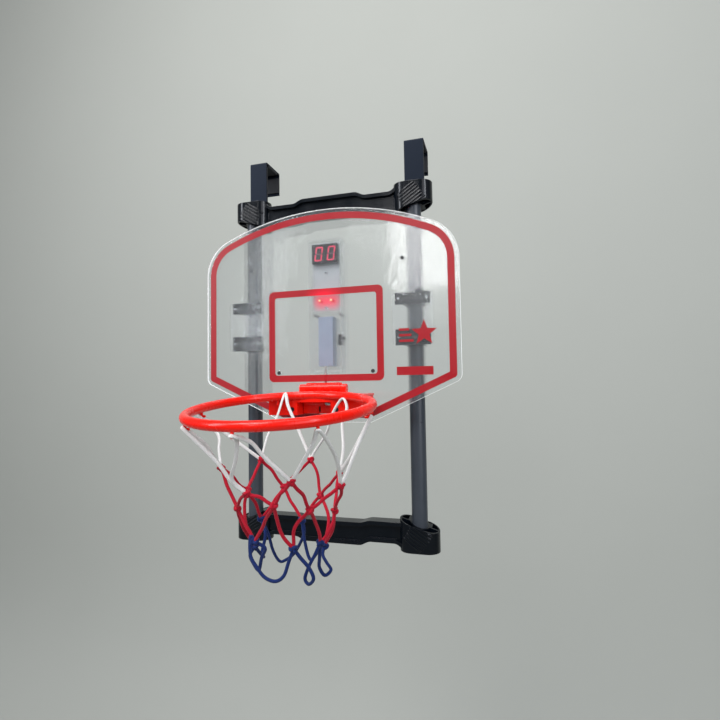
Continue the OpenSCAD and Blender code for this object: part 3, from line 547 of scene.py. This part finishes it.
def soften(bm, width, sharp=SHARP):
    """Round every edge that is sharper than the given angle, and give back the rounded mesh.

    Full width is tried first. A shape with edges too short for it, which would grow past its box,
    takes the widest rounding that fits.
    """
    before, bulk = reach_of(bm), bm.calc_volume(signed=True)
    for clamp in (False, True):
        rounded = bm.copy()
        edges = [e for e in rounded.edges
                 if e.is_manifold and e.calc_face_angle(0) > math.radians(sharp)]
        bmesh.ops.bevel(rounded, geom=edges, offset=width, offset_type="OFFSET", segments=2,
                        profile=0.5, affect="EDGES", clamp_overlap=clamp, material=-1)
        grown = max(abs(a - b) for a, b in zip(before, reach_of(rounded)))
        change = abs(rounded.calc_volume(signed=True) / bulk - 1)
        if clamp or (grown < MOST_GROWTH and change < MOST_CHANGE):
            bm.free()
            return rounded
        rounded.free()


def even_shading(piece):
    """Let flat faces shade flat beside their rounded edges."""
    shading = piece.modifiers.new("even shading", "WEIGHTED_NORMAL")
    shading.keep_sharp = True
    shading.weight = 100


def soft_moulding(node, width, material, name=None):
    """A copy of a CAD node with rounded edges, which stands for the node."""
    bm = soften(merged_copy(node), width)
    crisp_shading(bm)
    piece = new_piece(name or node + "_moulding", bm, material)
    even_shading(piece)
    stands_for(piece, node, BODY_OF[node])


def in_metres(spots):
    """Table spots, in millimetres, as vectors in metres."""
    return [Vector(spot) * MM for spot in spots]


def smooth_path(points):
    """Points CORD_STEP apart along a soft curve through the given points."""
    ends = [points[0] * 2 - points[1], *points, points[-1] * 2 - points[-2]]
    out = []
    for i in range(1, len(ends) - 2):
        before, here, there, after = ends[i - 1 : i + 3]
        count = max(2, round((there - here).length / CORD_STEP))
        for k in range(count):
            t = k / count
            out.append(0.5 * (2 * here + (there - before) * t
                              + (2 * before - 5 * here + 4 * there - after) * t * t
                              + (3 * here - before - 3 * there + after) * t ** 3))
    return [*out, points[-1]]


def wander(path, size, chance):
    """Let a cord stray a little from its path, and not at its ends."""
    phases = [chance.uniform(0, ANY_TURN) for _ in range(3)]
    out = []
    for i, spot in enumerate(path):
        t = i / (len(path) - 1)
        ease = math.sin(math.pi * t)
        stray = [math.sin(phase + t * bends) for phase, bends in zip(phases, WANDER_BENDS)]
        out.append(spot + Vector(stray) * size * ease)
    return out


def edges_round(bm, ring):
    """The edges of a closed ring of vertices."""
    return [bm.edges.get(pair) for pair in zip(ring, ring[1:] + ring[:1])]


def sweep(bm, path, width, thickness, sides):
    """Draw a cord along a path: a ring is extruded from point to point and both ends are closed."""
    layer = bm.loops.layers.uv.get(CORD_MAP) or bm.loops.layers.uv.new(CORD_MAP)
    forward = (path[1] - path[0]).normalized()
    side = forward.orthogonal().normalized()
    ring = bmesh.ops.create_circle(bm, cap_ends=False, radius=1, segments=sides)["verts"]
    rings = [list(ring)]
    for _ in path[1:]:
        made = bmesh.ops.extrude_edge_only(bm, edges=edges_round(bm, rings[-1]))["geom"]
        fresh = {v for v in made if isinstance(v, bmesh.types.BMVert)}
        rings.append([next(e.other_vert(vert) for e in vert.link_edges if e.other_vert(vert) in fresh)
                      for vert in rings[-1]])
    marks = {}
    length = 0.0
    for i, point in enumerate(path):
        ahead = path[min(i + 1, len(path) - 1)] - path[max(i - 1, 0)]
        ahead.normalize()
        side = (side - ahead * side.dot(ahead)).normalized()
        other = ahead.cross(side)
        if i:
            length += (point - path[i - 1]).length
        for k, vert in enumerate(rings[i]):
            angle = 2 * math.pi * k / sides
            vert.co = (point + side * math.cos(angle) * width / 2
                       + other * math.sin(angle) * thickness / 2)
            marks[vert] = (k, length / MM)
    for end in (rings[0], rings[-1]):
        bmesh.ops.contextual_create(bm, geom=edges_round(bm, end))
    for vert in [v for ring in rings for v in ring]:
        for loop in vert.link_loops:
            k, along = marks[vert]
            around = {marks[v][0] for v in loop.face.verts if v in marks}
            wrapped = k == 0 and sides - 1 in around and len(loop.face.verts) == 4
            loop[layer].uv = ((sides if wrapped else k) / sides, along)


def braid_top(turn, outward, above):
    """Where a braid hangs on the ring, whose front droops a little."""
    droop, angle = math.radians(RING_DROOP), math.radians(turn)
    reach = RING_RADIUS + outward
    height = RING_Z - RING_RADIUS * (1 - math.sin(angle)) * math.sin(droop) + above
    return Vector((reach * math.cos(angle), RING_Y + reach * math.sin(angle), height)) * MM


def tied_knot(bm, centre, width, thickness, turn, sides):
    """A tight overhand knot: the cord runs once round a trefoil, from spot to spot."""
    lay = Matrix.Rotation(turn[0], 3, "Z") @ Matrix.Rotation(turn[1], 3, "X")
    trefoil_radius, spots, start, depth = 3, 36, 0.2, 1.9
    reach = (width - thickness) / 2 / trefoil_radius
    path = []
    for i in range(spots + 1):
        t = 2 * math.pi * i / spots + start
        spot = Vector((math.sin(t) + 2 * math.sin(2 * t), math.cos(t) - 2 * math.cos(2 * t),
                       -depth * math.sin(3 * t)))
        path.append(centre + lay @ spot * reach)
    sweep(bm, path, thickness, thickness, sides)


def knotted_cords(point, legs, rows, stray, knot_width, sizes, chance):
    """Draw round cords from knot to knot, and tie the knots of the given rows."""
    bm = bmesh.new()
    width, sides = sizes.cord_width, sizes.cord_sides
    for ends, way in legs:
        route = [point[ends[:2]], *in_metres(way), point[ends[2:]]]
        sweep(bm, wander(smooth_path(route), stray, chance), width, width * CORD_FLATNESS, sides)
    for key in sorted(point):
        if key[0] in rows:
            turn = (chance.uniform(0, ANY_TURN), chance.uniform(0.6, 1.4))
            tied_knot(bm, point[key], knot_width, width, turn, sides)
    return bm


# Operators ----------------------------------------------------------------------------------


class HOOP_OT_frame(bpy.types.Operator):
    """Finish the hooks, tubes, crossbars, clips and their screws"""

    bl_idname = "hoop.frame"
    bl_label = "Hanging frame"

    def execute(self, context):
        sizes, colours = context.scene.hoop_sizes, context.scene.hoop_colours
        black = moulded_abs(colours.bar)
        coat = powder_coated_steel()
        for node in ("hook_left", "hook_right"):
            soft_moulding(node, sizes.steel_edge, coat, node + "_strip")
        for node in ("upper_crossbar", "lower_crossbar"):
            soft_moulding(node, sizes.moulded_edge, black)
        for node in ("clip_lower_left", "clip_lower_right", "clip_upper_left", "clip_upper_right"):
            soft_moulding(node, sizes.moulded_edge * CLIP_EDGE, black)
        repaint(painted_tube(colours.tube), "tube_upper_left", "tube_upper_right",
                "tube_lower_left", "tube_lower_right")
        # Foam is dull all over and shows its pores
        foam = plain_finish("eva foam, closed cell black", "232426", "313235", (0.85, 0.95),
                            grain_mm=0.8, depth_mm=0.12, patch_mm=3)
        repaint(foam, "hook_pads")
        # Black oxide is nearly as dark as paint, with a metal's glint
        black_screw = plain_finish("steel screw, black oxide", "26282b", "3a3d41", (0.3, 0.45),
                                   grain_mm=0.4, patch_mm=3, metallic=0.9)
        repaint(black_screw, "hook_screws", "tube_screws", "battery_door_screws", "rim_box_screws")
        # Zinc is pale and bright, with a soft-edged glint
        bright_screw = plain_finish("steel screw, zinc plated", "a9adb0", "c8cbcc", (0.22, 0.36),
                                    grain_mm=0.4, patch_mm=3, metallic=1.0)
        repaint(bright_screw, "clip_screws", "circuit_board_screws", "rim_mount_screws", "rim_pin",
                "paddle_pin", "paddle_spring")
        return {"FINISHED"}


class HOOP_OT_board(bpy.types.Operator):
    """Make the clear board with its bright edge, its print, rivets and carrier plates"""

    bl_idname = "hoop.board"
    bl_label = "Backboard"

    def execute(self, context):
        sizes, colours = context.scene.hoop_sizes, context.scene.hoop_colours
        low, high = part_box("backboard")
        middle_x, middle_z = (low.x + high.x) / 2, (low.z + high.z) / 2
        bm = soften(merged_copy("backboard"), sizes.board_edge, SHEET_SHARP)
        crisp_shading(bm)
        # The outer edge and its bevels take the second material, and the holes do not
        for face in bm.faces:
            centre = face.calc_center_median()
            from_middle = Vector((centre.x - middle_x, 0, centre.z - middle_z))
            if abs(face.normal.y) < 0.9 and from_middle.dot(face.normal) > 0:
                face.material_index = 1
        board = new_piece("clear_board_sheet", bm, clear_sheet(), sawn_edge())
        even_shading(board)
        stands_for(board, "backboard", "board")
        repaint(screen_ink(colours.ink), "border_print", "target_print", "emblem_print")
        # Nylon is black with a waxy, half dull shine
        rivet = plain_finish("nylon rivet, moulded black", "1c1d1f", "2a2c2e", (0.4, 0.55))
        repaint(rivet, "board_rivets")
        clear = clear_case()
        for node in ("plate_left", "plate_right"):
            soft_moulding(node, sizes.moulded_edge * CLIP_EDGE, clear)
        return {"FINISHED"}


class HOOP_OT_scorer(bpy.types.Operator):
    """Finish the clear case and everything that shows through it"""

    bl_idname = "hoop.scorer"
    bl_label = "Scorer"

    def digits(self):
        """Two noughts of six lit bars; their middle bars and points are unlit."""
        low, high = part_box("display_digits")
        case_low, case_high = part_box("display_case")
        middle = (case_low + case_high) / 2
        depth, thick = (low.y + high.y) / 2, high.y - low.y
        wide, tall, bar = 0.0116, 0.0216, 0.0019
        lean = 0.14
        lit, unlit = 0, 1
        bm = bmesh.new()
        for centre in (-0.0092, 0.0106):
            # Each bar: its middle across and up from the digit's, its two sizes, and its slot
            bars = [(0, side * (tall - bar) / 2, wide - bar * 1.3, bar, lit) for side in (-1, 1)]
            bars += [(x * (wide - bar) / 2, z * tall / 4, bar, tall / 2 - bar * 0.9, lit)
                     for x in (-1, 1) for z in (-1, 1)]
            bars += [(0, 0, wide - bar * 2.2, bar * 0.8, unlit),
                     (wide / 2 + bar, (bar - tall) / 2, bar, bar, unlit)]
            for x, z, across, up, slot in bars:
                block = bmesh.ops.create_cube(bm, size=1)["verts"]
                bmesh.ops.scale(bm, vec=(across, thick, up), verts=block)
                bmesh.ops.translate(bm, vec=(x, 0, z), verts=block)
                for vert in block:
                    vert.co.x += centre + vert.co.z * lean
                for face in {f for v in block for f in v.link_faces}:
                    face.material_index = slot
                bmesh.ops.translate(bm, vec=(middle.x, depth, middle.z), verts=block)
        edges = [e for e in bm.edges
                 if abs((e.verts[0].co - e.verts[1].co).normalized().y) > 0.9]
        bmesh.ops.bevel(bm, geom=edges, offset=bar * 0.3, segments=3, profile=0.5, affect="EDGES",
                        material=-1)
        return bm

    def execute(self, context):
        sizes = context.scene.hoop_sizes
        clear = clear_case()
        for node in ("scorer_case", "scorer_cover", "battery_door"):
            soft_moulding(node, sizes.moulded_edge * CASE_EDGE, clear)
        repaint(solder_mask(), "circuit_board")
        repaint(lit_lamp(), "status_lamps")
        # An unlit bar is a dull plum under clear epoxy
        off = plain_finish("epoxy, unlit segment", "6b4a54", "5c3e48", (0.3, 0.4), 1.5, 0.01)
        digits = new_piece("two_digits", self.digits(), lit_segment(), off)
        stands_for(digits, "display_digits", BODY_OF["display_digits"])
        # The display's face is almost black and mirrors softly
        face = plain_finish("epoxy, dark display face", "1a1015", "130b10", (0.18, 0.3), 1.5, 0.01)
        repaint(face, "display_case")
        # The tray is a chalky blue grey with broad pale patches
        tray = plain_finish("abs, moulded grey blue", "8f9bb0", "a3adbf", (0.4, 0.55),
                            depth_mm=0.03, patch_mm=12)
        repaint(tray, "battery_tray")
        # Shrunk film is smooth, with a clear shine along each cell
        sleeve = plain_finish("shrink sleeve, printed green", "2c7a3c", "35904a", (0.3, 0.42))
        repaint(sleeve, "battery_cells")
        # Nickel is the brightest metal here
        nickel = plain_finish("spring steel, nickel plated", "b9bcbe", "d2d4d5", (0.18, 0.3),
                              metallic=1.0)
        repaint(nickel, "battery_contacts")
        # Spark textured moulds leave a matt, slightly pebbled skin
        dark = plain_finish("abs, moulded matt black", "17181a", "232527", (0.45, 0.6), 0.6, 0.04)
        repaint(dark, "buzzer", "power_switch_body", "power_switch_knob", "sensor_switch")
        # Cable skin is off-white with a low shine
        wire = plain_finish("pvc insulation, white", "d8dad8", "e6e6e2", (0.4, 0.5))
        repaint(wire, "sensor_lead")
        return {"FINISHED"}


class HOOP_OT_rim(bpy.types.Operator):
    """Make the glossy rim with its box, hinge block and scoring paddle"""

    bl_idname = "hoop.rim"
    bl_label = "Rim"

    def execute(self, context):
        sizes, colours = context.scene.hoop_sizes, context.scene.hoop_colours
        gloss = glossy_pp(colours.rim)
        for node in ("rim", "rim_back_plate", "rim_mount", "score_paddle"):
            soft_moulding(node, sizes.moulded_edge * RIM_EDGE, gloss)
        return {"FINISHED"}


class HOOP_OT_net(bpy.types.Operator):
    """Tie the net: white braid from the ring's hooks, then red and blue cord with their knots"""

    bl_idname = "hoop.net"
    bl_label = "Net"

    def execute(self, context):
        sizes = context.scene.hoop_sizes
        chance = random.Random(7)
        point = {row + str(i): Vector(spot) * MM
                 for row, knots in ROWS.items() for i, spot in enumerate(knots)}
        white = bmesh.new()
        for i, (left, left_way, right, right_way) in enumerate(WHITE_LEGS):
            route = [point["a%d" % left], *in_metres(reversed(left_way)),
                     braid_top(*BRAID_TOPS[i]), *in_metres(right_way), point["a%d" % right]]
            sweep(white, wander(smooth_path(route), 0.7 * MM, chance), sizes.white_width,
                  sizes.white_width * BRAID_FLATNESS, sizes.cord_sides)
        red = knotted_cords(point, RED_LEGS, "ab", 0.6 * MM, sizes.knot_width, sizes, chance)
        # The lowest knots hold two loops each, so they are a little larger
        blue = knotted_cords(point, BLUE_LOOPS, "c", 0.4 * MM, sizes.knot_width * 1.1, sizes, chance)
        # Each cord's piece, mesh, node, its colour and the painted shade between its strands, and its
        # strand and girth in millimetres
        finishes = (
            ("net_white_braid", white, "net_white", ("e9e8e5", "aaa8a6"), 1.5, 12),
            ("net_red_cord", red, "net_red", ("c00528", "660216"), 1.2, 11),
            ("net_blue_cord", blue, "net_blue", ("0a2763", "051338"), 1.2, 11),
        )
        for name, bm, node, (colour, dark), strand, girth in finishes:
            bmesh.ops.recalc_face_normals(bm, faces=bm.faces)
            for face in bm.faces:
                face.smooth = True
            cord = braided_cord("polyester braid, " + name.split("_")[1], linear(colour),
                                linear(dark), strand, girth)
            piece = new_piece(name, bm, cord)
            stands_for(piece, node, "rim")
            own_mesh(piece)
        return {"FINISHED"}


class HOOP_OT_stage(bpy.types.Operator):
    """Set the pale floor and wall, the soft lights and the camera"""

    bl_idname = "hoop.stage"
    bl_label = "Stage"

    def backdrop(self, colour):
        """Floor and wall in one sheet, drawn back from its front edge and up round a soft bend."""
        half_width, front, floor = 16, -9, -1.9
        moves = ((0, 9.0, 0), (0, 0.7, 0.06), (0, 0.35, 0.2), (0, 0.15, 0.35), (0, 0.03, 0.7),
                 (0, 0, 6.0))
        bm = bmesh.new()
        corners = [bm.verts.new((side * half_width, front, floor)) for side in (-1, 1)]
        run = [bm.edges.new(corners)]
        for move in moves:
            out = bmesh.ops.extrude_edge_only(bm, edges=run)["geom"]
            bmesh.ops.translate(bm, vec=move,
                                verts=[v for v in out if isinstance(v, bmesh.types.BMVert)])
            run = [e for e in out if isinstance(e, bmesh.types.BMEdge)]
        bmesh.ops.recalc_face_normals(bm, faces=bm.faces)
        for face in bm.faces:
            face.smooth = True
        # Rolled wall paint: flat, with hardly a shine and a broad, faint unevenness
        made, tree, shader, place = start_material("matt studio paint", {"Specular IOR Level": 0.2})
        vary(tree, shader, place, colour, shade(colour, 0.97), 400, (0.8, 0.9), 3, 0.05)
        sheet = new_piece("studio_backdrop", bm, made)
        bend = sheet.modifiers.new("curve", "SUBSURF")
        bend.levels = bend.render_levels = 3

    def lights(self, scene):
        """A pale sky and six soft lamps; the window card stands where the board mirrors it."""
        world = bpy.data.worlds.new("studio")
        scene.world = world
        world.use_nodes = True
        sky = world.node_tree.nodes["Background"].inputs
        sky["Color"].default_value = paint("e4ebf4")
        sky["Strength"].default_value = 0.28
        # Name, place, aim, width, height, power in watts and colour
        lamps = (
            ("key softbox", (-0.9, -2.1, 2.5), (0, -0.1, -0.4), 1.8, 1.2, 98, "fcfbfb"),
            ("fill softbox", (1.9, -1.9, 0.2), (0, -0.1, -0.3), 1.4, 1.8, 20, "f4f6ff"),
            ("window card", (-0.2, -2.5, 0.5), (0.15, -0.05, -0.16), 0.44, 0.5, 6, "ffffff"),
            ("left strip", (-1.7, -1.5, 0.6), (0, 0, -0.25), 0.4, 1.5, 26, "f4f8ff"),
            ("right strip", (1.8, -1.2, 0.5), (0.1, 0, -0.3), 0.3, 1.5, 14, "f4f8ff"),
            ("wall wash", (0.2, -0.6, 2.2), (0.1, 1.1, -0.4), 2.4, 1.2, 24, "ffffff"),
        )
        for name, spot, target, wide, tall, power, colour in lamps:
            data = bpy.data.lights.new(name, "AREA")
            data.shape = "RECTANGLE"
            data.size, data.size_y, data.energy = wide, tall, power
            data.color = linear(colour)
            lamp = bpy.data.objects.new(name, data)
            lamp.location = spot
            aim = Vector(target) - Vector(spot)
            lamp.rotation_euler = aim.to_track_quat("-Z", "Y").to_euler()
            scene.collection.objects.link(lamp)

    def camera(self, scene):
        """A wide lens close by, below the board's middle and to its right."""
        data = bpy.data.cameras.new("camera")
        data.sensor_width, data.lens = 36, 24.07
        camera = bpy.data.objects.new("camera", data)
        camera.location = (0.2506, -0.7213, -0.3696)
        yaw, pitch, roll = (math.radians(angle) for angle in (16.27, 2.85, -0.894))
        ahead = Vector((-math.sin(yaw) * math.cos(pitch), math.cos(yaw) * math.cos(pitch),
                        math.sin(pitch)))
        level_right = ahead.cross(Vector((0, 0, 1))).normalized()
        level_up = level_right.cross(ahead)
        right = level_right * math.cos(roll) + level_up * math.sin(roll)
        up = level_up * math.cos(roll) - level_right * math.sin(roll)
        camera.rotation_euler = Matrix((right, up, -ahead)).transposed().to_euler()
        scene.collection.objects.link(camera)
        scene.camera = camera

    def execute(self, context):
        self.backdrop(context.scene.hoop_colours.backdrop)
        self.lights(context.scene)
        self.camera(context.scene)
        context.scene.view_settings.view_transform = "Standard"
        return {"FINISHED"}


class HOOP_PT_panel(bpy.types.Panel):
    """Lists the steps and their settings"""

    bl_idname = "HOOP_PT_panel"
    bl_label = "Over-door hoop"
    bl_space_type = "VIEW_3D"
    bl_region_type = "UI"
    bl_category = "Hoop"

    def draw(self, context):
        column = self.layout.column()
        for group in (context.scene.hoop_sizes, context.scene.hoop_colours):
            for name in group.__annotations__:
                column.prop(group, name)
        for step in STEPS:
            column.operator(step)


STEPS = ("hoop.stage", "hoop.frame", "hoop.board", "hoop.scorer", "hoop.rim", "hoop.net")
CLASSES = (HOOP_PG_sizes, HOOP_PG_colours, HOOP_OT_frame, HOOP_OT_board, HOOP_OT_scorer, HOOP_OT_rim,
           HOOP_OT_net, HOOP_OT_stage, HOOP_PT_panel)


def register():
    """Add the settings, the steps and the panel to Blender."""
    for cls in CLASSES:
        bpy.utils.register_class(cls)
    bpy.types.Scene.hoop_sizes = PointerProperty(type=HOOP_PG_sizes)
    bpy.types.Scene.hoop_colours = PointerProperty(type=HOOP_PG_colours)


def unregister():
    """Take them away again."""
    del bpy.types.Scene.hoop_sizes
    del bpy.types.Scene.hoop_colours
    for cls in reversed(CLASSES):
        bpy.utils.unregister_class(cls)


def main():
    """Run every step in order."""
    register()
    for step in STEPS:
        group, name = step.split(".")
        getattr(getattr(bpy.ops, group), name)()


if __name__ == "__main__":
    main()
